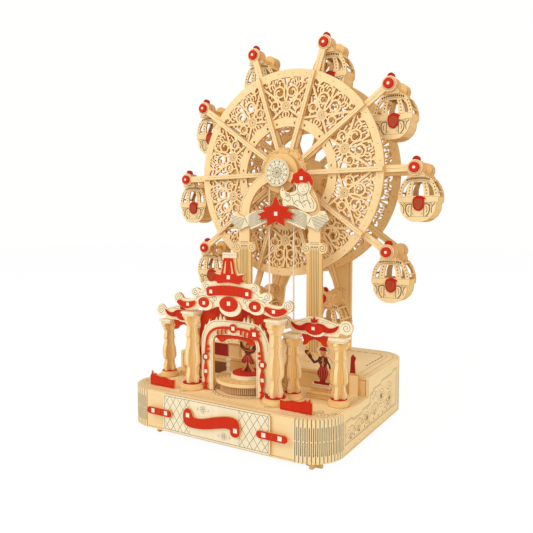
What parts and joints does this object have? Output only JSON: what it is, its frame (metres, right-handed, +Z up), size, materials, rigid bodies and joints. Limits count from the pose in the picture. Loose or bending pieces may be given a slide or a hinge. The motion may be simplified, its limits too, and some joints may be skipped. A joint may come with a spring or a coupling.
{
  "type": "crank ferris wheel toy",
  "caption": "Plywood ferris wheel toy on a stepped base: a rear crank turns the belt-driven wheel of hanging gondolas and a dancer turntable under a red theatre arch.",
  "frame": {"origin": "bottom centre of the bounding box, at the level of the feet", "axes": "+X to the right along the front face, +Y from the front face to the crank at the back, +Z up"},
  "size_m": [0.1966, 0.1596, 0.2495],
  "materials": {
    "birch": "bare laser-cut plywood, sheet face and tan cut edge",
    "pale_birch": "bare laser-cut plywood, pale sheet face",
    "dark_birch": "bare plywood and dowel, browner",
    "vermilion": "plywood painted flat vermilion, tan cut edge",
    "wine": "plywood printed dark wine red",
    "thread": "thin natural cord"
  },
  "bodies": {
    "base": {"base_floor": "dark_birch", "skin_left": "pale_birch", "skin_right": "pale_birch", "lattice_plate": "pale_birch", "tower_frame": "pale_birch", "ribbon": "pale_birch", "jester": "pale_birch", "roof": "pale_birch", "proscenium": "pale_birch", "pediment_left": "pale_birch", "pediment_right": "pale_birch", "column_front_left": "pale_birch", "column_front_right": "pale_birch", "column_outer_left": "pale_birch", "column_outer_right": "pale_birch", "column_inner_left": "pale_birch", "column_inner_right": "pale_birch", "front_deck": "birch", "rear_deck": "birch", "step_riser": "birch", "shaft_bearing": "birch", "rear_frame": "birch", "step_box_left": "birch", "step_box_right": "birch", "scroll_plaque": "vermilion", "clip_left": "vermilion", "clip_right": "vermilion", "star": "vermilion", "curtain": "vermilion", "sign_left": "vermilion", "sign_right": "vermilion", "juggler": "wine", "drive_belt": "thread"},
    "wheel": {"front_rim": "pale_birch", "front_arms": "pale_birch", "front_bars": "pale_birch", "rear_rim": "birch", "rear_arms": "birch", "wheel_axle": "dark_birch", "hub_pulley": "birch", "flower_disc": "birch", "hub_cap": "pale_birch"},
    "crank": {"crank_shaft": "dark_birch", "crank_arm": "birch", "crank_grip": "vermilion", "drive_pulley": "pale_birch", "shaft_gear": "pale_birch"},
    "table": {"turntable": "pale_birch", "turntable_gear": "pale_birch", "dancer": "wine"},
    "car_1": {"gondola_1": "pale_birch"},
    "car_2": {"gondola_2": "pale_birch"},
    "car_3": {"gondola_3": "pale_birch"},
    "car_4": {"gondola_4": "pale_birch"},
    "car_5": {"gondola_5": "pale_birch"},
    "car_6": {"gondola_6": "pale_birch"},
    "car_7": {"gondola_7": "pale_birch"},
    "car_8": {"gondola_8": "pale_birch"},
    "car_9": {"gondola_9": "pale_birch"},
    "car_10": {"gondola_10": "pale_birch"}
  },
  "joints": [
    {"name": "wheel_spin", "type": "hinge", "parent": "base", "child": "wheel", "pos_m": [0, 0.02045, 0.1603], "axis": [0, 1, 0], "continuous": true},
    {"name": "crank_spin", "type": "hinge", "parent": "base", "child": "crank", "pos_m": [0, 0.00675, 0.0175], "axis": [0, 1, 0], "continuous": true},
    {"name": "turntable_spin", "type": "hinge", "parent": "base", "child": "table", "pos_m": [0, -0.04225, 0.03], "axis": [0, 0, 1], "continuous": true},
    {"name": "gondola_1_swing", "type": "hinge", "parent": "wheel", "child": "car_1", "pos_m": [0.086, 0.02045, 0.1603], "axis": [0, 1, 0], "continuous": true},
    {"name": "gondola_2_swing", "type": "hinge", "parent": "wheel", "child": "car_2", "pos_m": [0.06958, 0.02045, 0.21085], "axis": [0, 1, 0], "continuous": true},
    {"name": "gondola_3_swing", "type": "hinge", "parent": "wheel", "child": "car_3", "pos_m": [0.02658, 0.02045, 0.24209], "axis": [0, 1, 0], "continuous": true},
    {"name": "gondola_4_swing", "type": "hinge", "parent": "wheel", "child": "car_4", "pos_m": [-0.02658, 0.02045, 0.24209], "axis": [0, 1, 0], "continuous": true},
    {"name": "gondola_5_swing", "type": "hinge", "parent": "wheel", "child": "car_5", "pos_m": [-0.06958, 0.02045, 0.21085], "axis": [0, 1, 0], "continuous": true},
    {"name": "gondola_6_swing", "type": "hinge", "parent": "wheel", "child": "car_6", "pos_m": [-0.086, 0.02045, 0.1603], "axis": [0, 1, 0], "continuous": true},
    {"name": "gondola_7_swing", "type": "hinge", "parent": "wheel", "child": "car_7", "pos_m": [-0.06958, 0.02045, 0.10975], "axis": [0, 1, 0], "continuous": true},
    {"name": "gondola_8_swing", "type": "hinge", "parent": "wheel", "child": "car_8", "pos_m": [-0.02658, 0.02045, 0.07851], "axis": [0, 1, 0], "continuous": true},
    {"name": "gondola_9_swing", "type": "hinge", "parent": "wheel", "child": "car_9", "pos_m": [0.02658, 0.02045, 0.07851], "axis": [0, 1, 0], "continuous": true},
    {"name": "gondola_10_swing", "type": "hinge", "parent": "wheel", "child": "car_10", "pos_m": [0.06958, 0.02045, 0.10975], "axis": [0, 1, 0], "continuous": true}
  ],
  "couplings": [
    {"joint": "crank_spin", "follows": "wheel_spin", "ratio": 1},
    {"joint": "turntable_spin", "follows": "wheel_spin", "ratio": -1},
    {"joint": "gondola_1_swing", "follows": "wheel_spin", "ratio": -1},
    {"joint": "gondola_2_swing", "follows": "wheel_spin", "ratio": -1},
    {"joint": "gondola_3_swing", "follows": "wheel_spin", "ratio": -1},
    {"joint": "gondola_4_swing", "follows": "wheel_spin", "ratio": -1},
    {"joint": "gondola_5_swing", "follows": "wheel_spin", "ratio": -1},
    {"joint": "gondola_6_swing", "follows": "wheel_spin", "ratio": -1},
    {"joint": "gondola_7_swing", "follows": "wheel_spin", "ratio": -1},
    {"joint": "gondola_8_swing", "follows": "wheel_spin", "ratio": -1},
    {"joint": "gondola_9_swing", "follows": "wheel_spin", "ratio": -1},
    {"joint": "gondola_10_swing", "follows": "wheel_spin", "ratio": -1}
  ]
}
